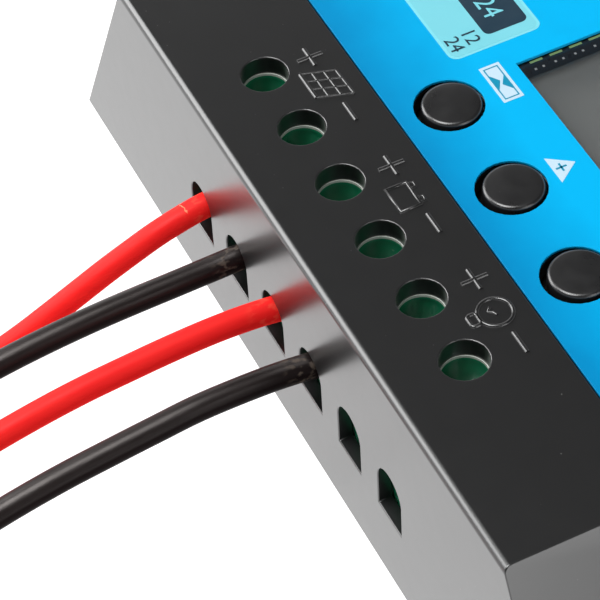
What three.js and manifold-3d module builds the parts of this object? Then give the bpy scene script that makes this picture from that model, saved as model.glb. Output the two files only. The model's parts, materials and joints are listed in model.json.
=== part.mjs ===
// Solar charge controller: a black moulded case on a back plate, with six screw clamps behind
// the front wall, two circuit boards, a display, three push buttons and four leads.
// Millimetres. X runs along the row of terminals, +Y away from the terminal wall, +Z up.
// The origin is the middle of the footprint, on the surface that the case stands on.

import * as THREE from 'three';
import { mergeVertices } from 'three/addons/utils/BufferGeometryUtils.js';
import Module from 'manifold-3d';

const wasm = await Module();
wasm.setup();

// ---------------------------------------------------------------- driving dimensions

const LENGTH = 132; // footprint along X
const DEPTH = 70; // footprint along Y
const HEIGHT = 33;
const END_LEAN = 17.2; // how far each end wall leans in between the base and the top
const WALL = 2;
const TOP_WALL = 2.7;
const DRAFT = 0.6; // how far the front and back walls lean in between the base and the top
const EDGE_RADIUS = 0.9; // along the top edges of the front and back walls
const GAP = 0.3; // between pieces that rest on each other
const OVERLAP = 0.5; // how deep joined bodies sink into each other
const OVERCUT = 1; // how far a cutting body reaches past the surface that it opens

const FRONT = -DEPTH / 2;
const BACK = DEPTH / 2;
const CEILING = HEIGHT - TOP_WALL;
const CAVITY_HALF = 46.5; // half length of the main cavity, between the two end wings

const POLES = 6;
const POLE_PITCH = 10;
const FIRST_POLE_X = -27.3;
const WIRED_POLES = 4; // the first four poles hold leads, the last two are open
const SCREW_Y = FRONT + 10.1;
const SCREW_HOLE_RADIUS = 2.84;
const ENTRY_WIDTH = 5.6;
const ENTRY_BOTTOM = 10.9;
const ENTRY_SIDE_TOP = 15.8;

const LABEL = { half: 46.3, y0: FRONT + 20.3, y1: FRONT + 64.5, thickness: 0.4, corner: 2.5 };
const RECESS_DEPTH = LABEL.thickness + GAP;
const RECESS_MARGIN = 0.2;

const BUTTONS = 3;
const BUTTON_PITCH = 15;
const FIRST_BUTTON_X = -12.1;
const BUTTON_Y = FRONT + 26.95;
const BUTTON_RADIUS = 3.62;
const BUTTON_HOLE_Y = FRONT + 26.65;
const BUTTON_HOLE_RADIUS = 4.2;
const BUTTON_PROUD = 0.3;

const WINDOW = { x0: -14.4, x1: 20.6, y0: FRONT + 36.7, y1: FRONT + 60.7 };
const WINDOW_LAP = 2.4; // how far the clear window reaches under the label
const WINDOW_THICKNESS = 1.2;

const USB_X = 33;
const USB_YS = [FRONT + 42.2, FRONT + 55.2];
const USB = { width: 14, depth: 6.8, skin: 0.5, floor: 1, top: HEIGHT - 0.2 };
const USB_TONGUE = { half: 5.6, thickness: 1.8, fromWall: 0.8, below: 1 };

const PLATE_THICKNESS = 2;
const BOSS = { x: 43.4, y: 29.9, radius: 3.4, bore: 1.5, boreTop: 14 };
const REST = { x: 33, y: 24, radius: 3 }; // the posts that the power board lies on
const CASE_SCREW = { shank: 1.2, head: 2.3, z0: 0.1, headTop: 1.1, z1: 11, slot: 0.6, tip: 1 };

const POWER_BOARD = { half: 38.5, y0: FRONT + 2.6, y1: BACK - 2.6, z0: 6, thickness: 1.6 };
const POWER_BOARD_TOP = POWER_BOARD.z0 + POWER_BOARD.thickness;
const DISPLAY_BOARD = { half: 44, y0: FRONT + 21.5, y1: FRONT + 60.9, z0: 21.6, thickness: 1.6 };
const DISPLAY_BOARD_TOP = DISPLAY_BOARD.z0 + DISPLAY_BOARD.thickness;

const BLOCK = { z0: POWER_BOARD_TOP + GAP, z1: CEILING - GAP, y0: FRONT + WALL + GAP, y1: FRONT + 18 };
const BLOCK_ENTRY = { z0: ENTRY_BOTTOM - 0.2, z1: 18.3 };
const BLOCK_SIDE_GAP = 0.2; // from a block's side to the middle between two poles
const CHAMBER = { half: 3.3, y0: BLOCK.y0 + 2, y1: BLOCK.y1 - 2.3, z0: 9.9, z1: 23.2 };

const CAGE = { half: 2.9, skin: 0.9, y0: SCREW_Y - 3, y1: SCREW_Y + 3, z0: 13.3, z1: 22.6 };
const CAGE_TRAVEL = 2.8; // an open clamp's cage stands this much lower
const CAGE_ROOF = 3; // how deep the screw's bore goes through the cage's roof
const THREAD_PLAY = 0.08;
const CLAMP_SCREW = {
  shank: 1.6, head: 2.5, z0: 18.6, headZ: 23.3, z1: 25.5, edge: 0.3, slot: 0.7, slotDepth: 1.2,
};
const CLAMP_BAR = { half: 1.9, y0: SCREW_Y - 4, y1: SCREW_Y + 4.9, z0: 17, z1: 18.2, leg: 1 };

const LEAD_RADIUS = 1.6;
const STRAND_RADIUS = 1.05;
const CLAMPED_Z = 15.6; // centre height of a clamped conductor
const LEAD_START_Y = FRONT + 4.6;
const CLAMPED_END_Y = SCREW_Y + 3.4;

const poleX = (index) => FIRST_POLE_X + index * POLE_PITCH;
const buttonX = (index) => FIRST_BUTTON_X + index * BUTTON_PITCH;

// ---------------------------------------------------------------- materials

const finish = (color, roughness, metalness = 0) => ({ color, roughness, metalness });
const BLACK_CASE = finish(0x2b2b2d, 0.5);
const BLACK_BUTTON = finish(0x1d1d1f, 0.4);
const BLUE_PRINT = finish(0x00aeef, 0.3);
const CLEAR = finish(0x9aa0a2, 0.08);
const GLASS = finish(0x6a6a6a, 0.15);
const WHITE_PLASTIC = finish(0xe8e8e4, 0.5);
const BLOCK_GREEN = finish(0x0f7a3d, 0.35);
const BOARD_GREEN = finish(0x14532d, 0.5);
const STEEL = finish(0xb8babd, 0.3, 1);
const TINNED = finish(0xc9c6bd, 0.35, 1);
const ALUMINIUM = finish(0xa9acb0, 0.4, 1);
const COPPER = finish(0xb8673a, 0.35, 1);
const CHIP_BLACK = finish(0x18181a, 0.6);
const CAN_BLUE = finish(0x1f2f6b, 0.35);
const RED_SLEEVE = finish(0xe5141e, 0.35);
const BLACK_SLEEVE = finish(0x1c1c1e, 0.4);

// ---------------------------------------------------------------- solids

// A closed solid from any three.js geometry.
function solid(geometry) {
  const bare = geometry.clone();
  bare.deleteAttribute('normal');
  bare.deleteAttribute('uv');
  const merged = mergeVertices(bare, 1e-4);
  const vertProperties = new Float32Array(merged.attributes.position.array);
  const triVerts = new Uint32Array(merged.index.array);
  return new wasm.Manifold(new wasm.Mesh({ numProp: 3, vertProperties, triVerts }));
}

// A box between two corners.
function box(x0, x1, y0, y1, z0, z1) {
  const geometry = new THREE.BoxGeometry(x1 - x0, y1 - y0, z1 - z0);
  return solid(geometry.translate((x0 + x1) / 2, (y0 + y1) / 2, (z0 + z1) / 2));
}

// An upright cylinder.
function post(x, y, z0, z1, radius, sides = 24) {
  const geometry = new THREE.CylinderGeometry(radius, radius, z1 - z0, sides);
  return solid(geometry.rotateX(Math.PI / 2).translate(x, y, (z0 + z1) / 2));
}

// A cylinder that lies along Y.
function rodAlongY(x, y0, y1, z, radius, sides = 12) {
  const geometry = new THREE.CylinderGeometry(radius, radius, y1 - y0, sides);
  return solid(geometry.translate(x, (y0 + y1) / 2, z));
}

// An upright turned piece from its outline, a list of [radius, height] from axis to axis.
function turned(outline, x, y, sides = 24) {
  const points = outline.map(([radius, height]) => new THREE.Vector2(radius, height));
  const geometry = new THREE.LatheGeometry(points, sides);
  return solid(geometry.rotateX(Math.PI / 2).translate(x, y, 0));
}

// A flat shape drawn in X and Z, pushed out along Y from y0 to y1.
function alongY(shape, y0, y1, curveSegments = 8) {
  const options = { depth: y1 - y0, bevelEnabled: false, curveSegments };
  const geometry = new THREE.ExtrudeGeometry(shape, options);
  return solid(geometry.rotateX(Math.PI / 2).translate(0, y1, 0));
}

// A flat shape drawn in Y and Z, pushed out along X from x0 to x1.
function alongX(shape, x0, x1, curveSegments = 4) {
  const options = { depth: x1 - x0, bevelEnabled: false, curveSegments };
  const geometry = new THREE.ExtrudeGeometry(shape, options);
  const turn = new THREE.Matrix4().makeBasis(
    new THREE.Vector3(0, 1, 0),
    new THREE.Vector3(0, 0, 1),
    new THREE.Vector3(1, 0, 0),
  );
  return solid(geometry.applyMatrix4(turn).translate(x0, 0, 0));
}

// A flat shape drawn in X and Y, pushed up from z0 to z1.
function upright(shape, z0, z1, curveSegments = 4) {
  const options = { depth: z1 - z0, bevelEnabled: false, curveSegments };
  return solid(new THREE.ExtrudeGeometry(shape, options).translate(0, 0, z0));
}

function roundedRectangle(x0, x1, y0, y1, radius) {
  const shape = new THREE.Shape();
  shape.absarc(x1 - radius, y1 - radius, radius, 0, Math.PI / 2);
  shape.absarc(x0 + radius, y1 - radius, radius, Math.PI / 2, Math.PI);
  shape.absarc(x0 + radius, y0 + radius, radius, Math.PI, 1.5 * Math.PI);
  shape.absarc(x1 - radius, y0 + radius, radius, 1.5 * Math.PI, 2 * Math.PI);
  return shape;
}

const join = (first, ...others) => others.reduce((whole, one) => whole.add(one), first);
const cut = (first, ...others) => others.reduce((whole, one) => whole.subtract(one), first);

const controller = new THREE.Group();

// Adds a solid to the model as a named piece.
function addPiece(name, body, look) {
  const mesh = body.getMesh();
  const geometry = new THREE.BufferGeometry();
  geometry.setAttribute('position', new THREE.BufferAttribute(mesh.vertProperties, 3));
  geometry.setIndex(new THREE.BufferAttribute(mesh.triVerts, 1));
  geometry.computeVertexNormals();
  const piece = new THREE.Mesh(geometry, new THREE.MeshStandardMaterial(look));
  piece.name = name;
  controller.add(piece);
}

// ---------------------------------------------------------------- case

// The side view of the case, with both ends leaning in by the same angle, shrunk by inset.
function endProfile(inset) {
  const leanPerMm = END_LEAN / HEIGHT;
  const top = HEIGHT + OVERCUT;
  const bottomHalf = LENGTH / 2 - inset + leanPerMm * OVERCUT;
  const topHalf = LENGTH / 2 - inset - leanPerMm * top;
  const shape = new THREE.Shape();
  shape.moveTo(-bottomHalf, -OVERCUT);
  shape.lineTo(bottomHalf, -OVERCUT);
  shape.lineTo(topHalf, top);
  shape.lineTo(-topHalf, top);
  return shape;
}

// The section across the case, with its two top edges rounded and a little draft on both walls.
function acrossProfile() {
  const centreZ = HEIGHT - EDGE_RADIUS;
  const inset = DRAFT + EDGE_RADIUS;
  const shape = new THREE.Shape();
  shape.moveTo(FRONT, 0);
  shape.lineTo(BACK, 0);
  shape.absarc(BACK - inset, centreZ, EDGE_RADIUS, 0, Math.PI / 2);
  shape.absarc(FRONT + inset, centreZ, EDGE_RADIUS, Math.PI / 2, Math.PI);
  return shape;
}

// A wire entry: a flat sill, upright sides and a round arch, drawn in X and Z.
function entryShape(x) {
  const half = ENTRY_WIDTH / 2;
  const shape = new THREE.Shape();
  shape.moveTo(x - half, ENTRY_BOTTOM);
  shape.lineTo(x + half, ENTRY_BOTTOM);
  shape.absarc(x, ENTRY_SIDE_TOP, half, 0, Math.PI);
  return shape;
}

const EAR = { inner: 52, halfWidth: 7, floor: 3, wall: 2, slotX: 59, slotRadius: 2.2, slotHalf: 2 };
const SLOPED_WALL = WALL * 1.15; // the end wall's thickness, measured along X

// The hollow below each sloped end, open at the bottom, without the walls of the ear's pocket.
function wingHollow(side) {
  const inner = CAVITY_HALF + WALL;
  const [x0, x1] = side > 0 ? [inner, LENGTH] : [-LENGTH, -inner];
  const room = box(x0, x1, FRONT + WALL, BACK - WALL, -OVERCUT, CEILING);
  const slope = alongY(endProfile(SLOPED_WALL), FRONT, BACK);
  const [ear0, ear1] = side > 0 ? [EAR.inner - EAR.wall, LENGTH] : [-LENGTH, EAR.wall - EAR.inner];
  const halfWidth = EAR.halfWidth + EAR.wall;
  const keptEar = box(ear0, ear1, -halfWidth, halfWidth, -2 * OVERCUT, HEIGHT);
  return cut(room.intersect(slope), keptEar);
}

// The pocket over each mounting ear and the slot through the ear.
function earPocket(side) {
  const [x0, x1] = side > 0 ? [EAR.inner, LENGTH] : [-LENGTH, -EAR.inner];
  const pocket = box(x0, x1, -EAR.halfWidth, EAR.halfWidth, EAR.floor, HEIGHT + OVERCUT);
  const x = side * EAR.slotX;
  const slotTop = EAR.floor + OVERCUT;
  const slot = join(
    post(x, -EAR.slotHalf, -OVERCUT, slotTop, EAR.slotRadius, 16),
    post(x, EAR.slotHalf, -OVERCUT, slotTop, EAR.slotRadius, 16),
    box(x - EAR.slotRadius, x + EAR.slotRadius, -EAR.slotHalf, EAR.slotHalf, -OVERCUT, slotTop),
  );
  return pocket.add(slot);
}

const VENTS = { count: 9, pitch: 7, width: 2.4, z0: 12, z1: 22 };

// Upright cooling slots through the back wall.
function backVents() {
  const slots = [];
  for (let index = 0; index < VENTS.count; index += 1) {
    const x = (index - (VENTS.count - 1) / 2) * VENTS.pitch;
    const half = VENTS.width / 2;
    slots.push(box(x - half, x + half, BACK - WALL - OVERCUT, BACK + OVERCUT, VENTS.z0, VENTS.z1));
  }
  return slots;
}

const SOCKET_HOLE = { width: USB.width + 2 * GAP, depth: USB.depth + 2 * GAP };

function socketHole(y, z0, z1) {
  return box(
    USB_X - SOCKET_HOLE.width / 2, USB_X + SOCKET_HOLE.width / 2,
    y - SOCKET_HOLE.depth / 2, y + SOCKET_HOLE.depth / 2, z0, z1,
  );
}

function buttonHoles(z0, z1) {
  const holes = [];
  for (let index = 0; index < BUTTONS; index += 1) {
    holes.push(post(buttonX(index), BUTTON_HOLE_Y, z0, z1, BUTTON_HOLE_RADIUS, 28));
  }
  return holes;
}

function labelOutline(margin) {
  return roundedRectangle(
    -LABEL.half - margin, LABEL.half + margin,
    LABEL.y0 - margin, LABEL.y1 + margin, LABEL.corner + margin,
  );
}

function frontHousing() {
  const across = alongX(acrossProfile(), -LENGTH, LENGTH);
  const outer = alongY(endProfile(0), FRONT - OVERCUT, BACK + OVERCUT).intersect(across);
  const cavity = box(-CAVITY_HALF, CAVITY_HALF, FRONT + WALL, BACK - WALL, -OVERCUT, CEILING);
  const shell = cut(outer, cavity, wingHollow(-1), wingHollow(1), earPocket(-1), earPocket(1));

  const bosses = [];
  for (const x of [-BOSS.x, BOSS.x]) {
    for (const y of [-BOSS.y, BOSS.y]) {
      const boss = post(x, y, PLATE_THICKNESS + GAP, CEILING + OVERLAP, BOSS.radius, 16);
      const bore = post(x, y, 0, BOSS.boreTop, BOSS.bore, 12);
      bosses.push(boss.subtract(bore));
    }
  }

  const low = CEILING - OVERCUT;
  const high = HEIGHT + OVERCUT;
  const holes = [];
  for (let index = 0; index < POLES; index += 1) {
    holes.push(alongY(entryShape(poleX(index)), FRONT - OVERCUT, FRONT + WALL + OVERCUT, 10));
    holes.push(post(poleX(index), SCREW_Y, low, high, SCREW_HOLE_RADIUS));
  }
  const lap = WINDOW_LAP + GAP;
  const windowHole = box(
    WINDOW.x0 - lap, WINDOW.x1 + lap, WINDOW.y0 - lap, WINDOW.y1 + lap, low, high,
  );
  const recess = upright(labelOutline(RECESS_MARGIN), HEIGHT - RECESS_DEPTH, high);
  const sockets = USB_YS.map((y) => socketHole(y, low, high));
  return cut(
    join(shell, ...bosses), ...holes, windowHole, recess, ...sockets,
    ...buttonHoles(low, high), ...backVents(),
  );
}

function faceLabel() {
  const sheet = upright(labelOutline(0), HEIGHT - LABEL.thickness, HEIGHT);
  const low = HEIGHT - LABEL.thickness - OVERCUT;
  const high = HEIGHT + OVERCUT;
  const opening = box(WINDOW.x0, WINDOW.x1, WINDOW.y0, WINDOW.y1, low, high);
  const sockets = USB_YS.map((y) => socketHole(y, low, high));
  return cut(sheet, opening, ...sockets, ...buttonHoles(low, high));
}

// The plate that closes the main cavity, with four board rests and four screw holes.
function backPlate() {
  const half = CAVITY_HALF - GAP;
  const wide = BACK - WALL - GAP;
  const plate = box(-half, half, -wide, wide, 0, PLATE_THICKNESS);
  const rests = [];
  const holes = [];
  const restTop = POWER_BOARD.z0 - GAP;
  const { shank, head, headTop } = CASE_SCREW;
  for (const right of [-1, 1]) {
    for (const back of [-1, 1]) {
      const x = right * BOSS.x;
      const y = back * BOSS.y;
      rests.push(post(right * REST.x, back * REST.y, PLATE_THICKNESS - OVERLAP, restTop, REST.radius, 16));
      holes.push(post(x, y, -OVERCUT, PLATE_THICKNESS + OVERCUT, shank + GAP, 16));
      holes.push(post(x, y, -OVERCUT, headTop + GAP, head + GAP, 16));
    }
  }
  return cut(join(plate, ...rests), ...holes);
}

function caseScrew(x, y) {
  const { shank, head, z0, headTop, z1, slot, tip } = CASE_SCREW;
  const outline = [[0, z0], [head, z0], [head, headTop], [shank, headTop], [shank, z1 - tip], [0, z1]];
  const driverSlot = box(x - head, x + head, y - slot / 2, y + slot / 2, z0 - OVERCUT, z0 + slot);
  return turned(outline, x, y, 12).subtract(driverSlot);
}

// ---------------------------------------------------------------- terminals

const BLOCK_POLES = 2;

// A two-pole terminal block: for each pole an entry, a clamp chamber, a screw well and a pin slot.
function terminalBlock(firstPole) {
  const lastPole = firstPole + BLOCK_POLES - 1;
  const side = POLE_PITCH / 2 - BLOCK_SIDE_GAP;
  const body = box(
    poleX(firstPole) - side, poleX(lastPole) + side, BLOCK.y0, BLOCK.y1, BLOCK.z0, BLOCK.z1,
  );
  const hollows = [];
  for (let pole = firstPole; pole <= lastPole; pole += 1) {
    const x = poleX(pole);
    const half = ENTRY_WIDTH / 2;
    const entryEnd = CHAMBER.y0 + OVERCUT;
    hollows.push(box(
      x - half, x + half, BLOCK.y0 - OVERCUT, entryEnd, BLOCK_ENTRY.z0, BLOCK_ENTRY.z1,
    ));
    hollows.push(box(
      x - CHAMBER.half, x + CHAMBER.half, CHAMBER.y0, CHAMBER.y1, CHAMBER.z0, CHAMBER.z1,
    ));
    hollows.push(post(x, SCREW_Y, CHAMBER.z1 - OVERCUT, BLOCK.z1 + OVERCUT, SCREW_HOLE_RADIUS));
    const slotHalf = CLAMP_BAR.half + GAP;
    hollows.push(box(
      x - slotHalf, x + slotHalf, CLAMP_BAR.y1 - CLAMP_BAR.leg - GAP, CLAMP_BAR.y1 + GAP,
      BLOCK.z0 - OVERCUT, CHAMBER.z0 + OVERCUT,
    ));
  }
  return cut(body, ...hollows);
}

// The box that the screw draws up against the bar, with the wire inside it.
function clampCage(pole) {
  const x = poleX(pole);
  const drop = pole < WIRED_POLES ? 0 : CAGE_TRAVEL;
  const { half, skin, y0, y1 } = CAGE;
  const z0 = CAGE.z0 - drop;
  const z1 = CAGE.z1 - drop;
  return cut(
    box(x - half, x + half, y0, y1, z0, z1),
    box(x - half + skin, x + half - skin, y0 - OVERCUT, y1 + OVERCUT, z0 + skin, z1 - skin - GAP),
    post(x, SCREW_Y, z1 - CAGE_ROOF, z1 + OVERCUT, CLAMP_SCREW.shank + THREAD_PLAY, 16),
  );
}

function terminalScrew(pole) {
  const x = poleX(pole);
  const { shank, head, z0, headZ, z1, edge, slot, slotDepth } = CLAMP_SCREW;
  const outline = [
    [0, z0], [shank, z0], [shank, headZ], [head, headZ], [head, z1 - edge], [head - edge, z1], [0, z1],
  ];
  const reach = head + OVERCUT;
  const driverSlot = box(
    x - reach, x + reach, SCREW_Y - slot / 2, SCREW_Y + slot / 2, z1 - slotDepth, z1 + OVERCUT,
  );
  return turned(outline, x, SCREW_Y, 16).subtract(driverSlot);
}

// The fixed bar that the wire is pressed against, with its leg down to the board.
function terminalContact(pole) {
  const x = poleX(pole);
  const { half, y0, y1, z0, z1, leg } = CLAMP_BAR;
  const pinHalf = half / 2;
  const pinReach = 1;
  const legBottom = POWER_BOARD_TOP + GAP;
  return join(
    box(x - half, x + half, y0, y1, z0, z1),
    box(x - half, x + half, y1 - leg, y1, legBottom, z0 + OVERLAP),
    box(x - pinHalf, x + pinHalf, y1 - leg, y1, POWER_BOARD.z0 - pinReach, legBottom + OVERLAP),
  );
}

// ---------------------------------------------------------------- boards and what is on them

function powerBoard() {
  const { half, y0, y1, z0 } = POWER_BOARD;
  const board = box(-half, half, y0, y1, z0, POWER_BOARD_TOP);
  const holes = [];
  for (let pole = 0; pole < POLES; pole += 1) {
    const x = poleX(pole);
    const pinHalf = CLAMP_BAR.half / 2 + GAP;
    const pinY = CLAMP_BAR.y1 - CLAMP_BAR.leg / 2;
    const pinDeep = CLAMP_BAR.leg / 2 + GAP;
    holes.push(box(
      x - pinHalf, x + pinHalf, pinY - pinDeep, pinY + pinDeep, z0 - OVERCUT, POWER_BOARD_TOP + OVERCUT,
    ));
  }
  return cut(board, ...holes);
}

function displayBoard() {
  const { half, y0, y1, z0 } = DISPLAY_BOARD;
  return box(-half, half, y0, y1, z0, DISPLAY_BOARD_TOP);
}

const HEADER = { x: -36, y: FRONT + 30, pins: 8, pitch: 2.54, pinHalf: 0.32, half: 1.25, z0: 1, z1: 7 };

// The row of pins that joins the two boards.
function pinHeader() {
  const { x, pinHalf, half, pitch } = HEADER;
  const length = HEADER.pins * pitch;
  const low = POWER_BOARD_TOP + GAP;
  const high = DISPLAY_BOARD.z0 - GAP;
  const pins = [];
  for (let index = 0; index < HEADER.pins; index += 1) {
    const y = HEADER.y + (index + 0.5) * pitch;
    pins.push(box(x - pinHalf, x + pinHalf, y - pinHalf, y + pinHalf, low, high));
  }
  const carrier = box(x - half, x + half, HEADER.y, HEADER.y + length, low + HEADER.z0, low + HEADER.z1);
  return join(carrier, ...pins);
}

const PANEL = {
  x0: WINDOW.x0 - 0.4, x1: WINDOW.x1 + 1.2, y0: WINDOW.y0 - 1.2, y1: WINDOW.y1 - 1.2,
  z0: 27, step: 28.1, z1: 29.3, ledge: 3.4,
};
const BACKLIGHT = { z0: DISPLAY_BOARD_TOP + GAP, z1: PANEL.z0 - GAP };

// The liquid crystal panel: a lower glass with a contact ledge at its left, and an upper glass.
function displayPanel() {
  const { x0, x1, y0, y1, z0, step, z1, ledge } = PANEL;
  return join(
    box(x0 - ledge, x1, y0, y1, z0, step),
    box(x0, x1, y0, y1, step - OVERLAP, z1),
  );
}

function displayBacklight() {
  const { x0, x1, y0, y1, ledge } = PANEL;
  return box(x0 - ledge, x1, y0, y1, BACKLIGHT.z0, BACKLIGHT.z1);
}

function displayWindow() {
  const { x0, x1, y0, y1 } = WINDOW;
  const top = HEIGHT - RECESS_DEPTH;
  const lap = WINDOW_LAP;
  return box(x0 - lap, x1 + lap, y0 - lap, y1 + lap, top - WINDOW_THICKNESS, top);
}

const SWITCH = { half: 3, height: 3.5, bore: 2, boreDepth: 2.2 };
const SWITCH_BASE = DISPLAY_BOARD_TOP + GAP;
const SWITCH_TOP = SWITCH_BASE + SWITCH.height;

function tactileSwitch(index) {
  const x = buttonX(index);
  const { half, bore, boreDepth } = SWITCH;
  return cut(
    box(x - half, x + half, BUTTON_Y - half, BUTTON_Y + half, SWITCH_BASE, SWITCH_TOP),
    post(x, BUTTON_Y, SWITCH_TOP - boreDepth, SWITCH_TOP + OVERCUT, bore, 16),
  );
}

const BUTTON_STEM = { radius: 1.7, flange: 4.6, flangeThickness: 1, reach: 1.3, edge: 0.3 };

// A button: a stem in the switch, a flange under the case's top and a flat round cap.
function buttonCap(index) {
  const { radius, flange, flangeThickness, reach, edge } = BUTTON_STEM;
  const flangeTop = CEILING - GAP;
  const flangeBottom = flangeTop - flangeThickness;
  const top = HEIGHT + BUTTON_PROUD;
  const outline = [
    [0, SWITCH_TOP - reach],
    [radius, SWITCH_TOP - reach],
    [radius, flangeBottom],
    [flange, flangeBottom],
    [flange, flangeTop],
    [BUTTON_RADIUS, flangeTop],
    [BUTTON_RADIUS, top - edge],
    [BUTTON_RADIUS - edge, top],
    [0, top],
  ];
  return turned(outline, buttonX(index), BUTTON_Y, 28);
}

// An upright socket: a thin steel shell with the contact tongue standing in it.
function usbSocket(y) {
  const { width, depth, skin, floor, top } = USB;
  const { half, thickness, fromWall, below } = USB_TONGUE;
  const base = DISPLAY_BOARD_TOP + GAP;
  const shell = box(USB_X - width / 2, USB_X + width / 2, y - depth / 2, y + depth / 2, base, top);
  const roomHalf = width / 2 - skin;
  const roomDeep = depth / 2 - skin;
  const room = box(
    USB_X - roomHalf, USB_X + roomHalf, y - roomDeep, y + roomDeep, base + floor, top + OVERCUT,
  );
  const tongueY = y + roomDeep - fromWall;
  const tongue = box(
    USB_X - half, USB_X + half, tongueY - thickness, tongueY, base + floor - OVERLAP, top - below,
  );
  return join(cut(shell, room), tongue);
}

const MOSFETS = 3;
const MOSFET = { x: -16, pitch: 14, y: FRONT + 50, width: 10, z0: 2.2, z1: 12.1, thickness: 4.4 };
const MOSFET_LEG = { pitch: 2.54, half: 0.4, thickness: 0.5, fromBack: 2.3 };

// A power transistor standing on its legs against the heat sink.
function mosfet(index) {
  const x = MOSFET.x + index * MOSFET.pitch;
  const { y, width, thickness } = MOSFET;
  const bodyBase = POWER_BOARD_TOP + MOSFET.z0;
  const body = box(
    x - width / 2, x + width / 2, y - thickness, y, bodyBase, POWER_BOARD_TOP + MOSFET.z1,
  );
  const legBack = y - MOSFET_LEG.fromBack;
  const legs = [-1, 0, 1].map((side) => {
    const legX = x + side * MOSFET_LEG.pitch;
    return box(
      legX - MOSFET_LEG.half, legX + MOSFET_LEG.half, legBack - MOSFET_LEG.thickness, legBack,
      POWER_BOARD_TOP + GAP, bodyBase + OVERLAP,
    );
  });
  return join(body, ...legs);
}

const HEAT_SINK = { x0: -24, x1: 20, thickness: 2.5, fins: 5, finDepth: 9, finWidth: 1.4, top: 20 };

// An upright plate with fins that reach towards the back vents.
function heatSink() {
  const y0 = MOSFET.y + GAP;
  const y1 = y0 + HEAT_SINK.thickness;
  const z0 = POWER_BOARD_TOP + GAP;
  const fins = [];
  for (let index = 0; index < HEAT_SINK.fins; index += 1) {
    const span = HEAT_SINK.x1 - HEAT_SINK.x0 - HEAT_SINK.finWidth;
    const x = HEAT_SINK.x0 + (span * index) / (HEAT_SINK.fins - 1);
    fins.push(box(x, x + HEAT_SINK.finWidth, y1 - OVERLAP, y1 + HEAT_SINK.finDepth, z0, HEAT_SINK.top));
  }
  return join(box(HEAT_SINK.x0, HEAT_SINK.x1, y0, y1, z0, HEAT_SINK.top), ...fins);
}

const CAPACITOR = { x: 31, y: FRONT + 34, radius: 3.9, z1: 19.8, edge: 0.4, grooveZ: 2.2 };

// A round can with a groove rolled in near its foot.
function capacitor() {
  const { x, y, radius, z1, edge, grooveZ } = CAPACITOR;
  const foot = POWER_BOARD_TOP + GAP;
  const groove = POWER_BOARD_TOP + grooveZ;
  const outline = [
    [0, foot], [radius - edge, foot], [radius, foot + edge],
    [radius, groove - edge], [radius - edge, groove], [radius, groove + edge],
    [radius, z1 - edge], [radius - edge, z1], [0, z1],
  ];
  return turned(outline, x, y, 20);
}

const CHIP = { x: 6, y: FRONT + 34, halfLength: 7, halfWidth: 3.8, z0: 0.3, z1: 2.2 };
const CHIP_LEG = { count: 7, pitch: 2, half: 0.35, reach: 1.2, height: 0.8 };

// The control chip, with a row of legs down each side.
function controllerChip() {
  const { x, y, halfLength, halfWidth, z0, z1 } = CHIP;
  const { count, pitch, half, reach, height } = CHIP_LEG;
  const base = POWER_BOARD_TOP + GAP;
  const body = box(x - halfLength, x + halfLength, y - halfWidth, y + halfWidth, base + z0, base + z1);
  const legs = [];
  for (let index = 0; index < count; index += 1) {
    const legX = x + (index - (count - 1) / 2) * pitch;
    const legReach = halfWidth + reach;
    legs.push(box(legX - half, legX + half, y - legReach, y + legReach, base, base + height));
  }
  return join(body, ...legs);
}

// ---------------------------------------------------------------- leads

// Each route starts at the clamp, leaves the terminal wall and comes down to the surface.
// Points are [sideways from the pole, distance out from the front wall, height].
const LEAD_ROUTES = [
  [
    [0, -4.6, 15.6], [0, -2.5, 15.5], [0, 0, 15.2], [0, 3, 14.5], [0, 6, 13.6], [0, 9.5, 12.2],
    [0, 13, 10.7], [0, 17, 8.8], [0, 21, 6.9], [0, 25, 5.1], [-0.1, 29.5, 3.4], [-0.3, 35, 2.2],
    [-0.6, 42, 1.8], [-1.2, 52, 1.8], [-2, 64, 1.8], [-3, 76, 1.8], [-3.8, 88, 1.8],
    [-4.2, 100, 1.8], [-4.1, 112, 1.8], [-3.6, 124, 1.8], [-2.8, 136, 1.8], [-1.8, 147, 1.8],
  ],
  [
    [0, -4.6, 15.6], [0, -2.5, 15.6], [0, 0, 15.6], [0, 4, 15.5], [0, 8, 15.4], [0, 13, 15.3],
    [0, 18, 15.1], [0, 24, 14.6], [0, 30, 13.8], [0, 37, 12.4], [0, 45, 10.3], [0.1, 53, 7.9],
    [0.2, 61, 5.5], [0.3, 69, 3.4], [0.3, 78, 2.1], [0.2, 88, 1.8], [-0.1, 99, 1.8],
    [-0.6, 110, 1.8], [-1.2, 122, 1.8], [-1.7, 134, 1.8], [-2, 145, 1.8],
  ],
  [
    [0, -4.6, 15.6], [0, -2.5, 15.9], [0, 0, 16.4], [0, 4, 16.8], [0, 8, 16.9], [0, 13, 16.7],
    [0, 18, 16.3], [0, 24, 15.7], [0, 30, 14.7], [0, 37, 13.1], [0.1, 45, 10.9], [0.2, 53, 8.5],
    [0.4, 61, 6.1], [0.7, 69, 3.9], [1.1, 78, 2.3], [1.5, 88, 1.8], [1.9, 99, 1.8],
    [2.2, 110, 1.8], [2.3, 122, 1.8], [2.1, 134, 1.8], [1.7, 145, 1.8],
  ],
  [
    [0, -4.6, 15.6], [0, -2.5, 16], [0, 0, 16.6], [0, 4, 17.1], [0, 9, 17.3], [0, 14, 17.2],
    [0, 19, 16.6], [0, 25, 15.8], [0, 31, 14.9], [0.1, 38, 13.5], [0.3, 46, 11.4], [0.7, 54, 9],
    [1.2, 62, 6.5], [1.8, 70, 4.2], [2.5, 79, 2.4], [3.2, 89, 1.8], [3.9, 100, 1.8],
    [4.6, 111, 1.8], [5.2, 122, 1.8], [5.6, 134, 1.8], [5.8, 145, 1.8],
  ],
];
const LEAD_SIDES = 8;
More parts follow.
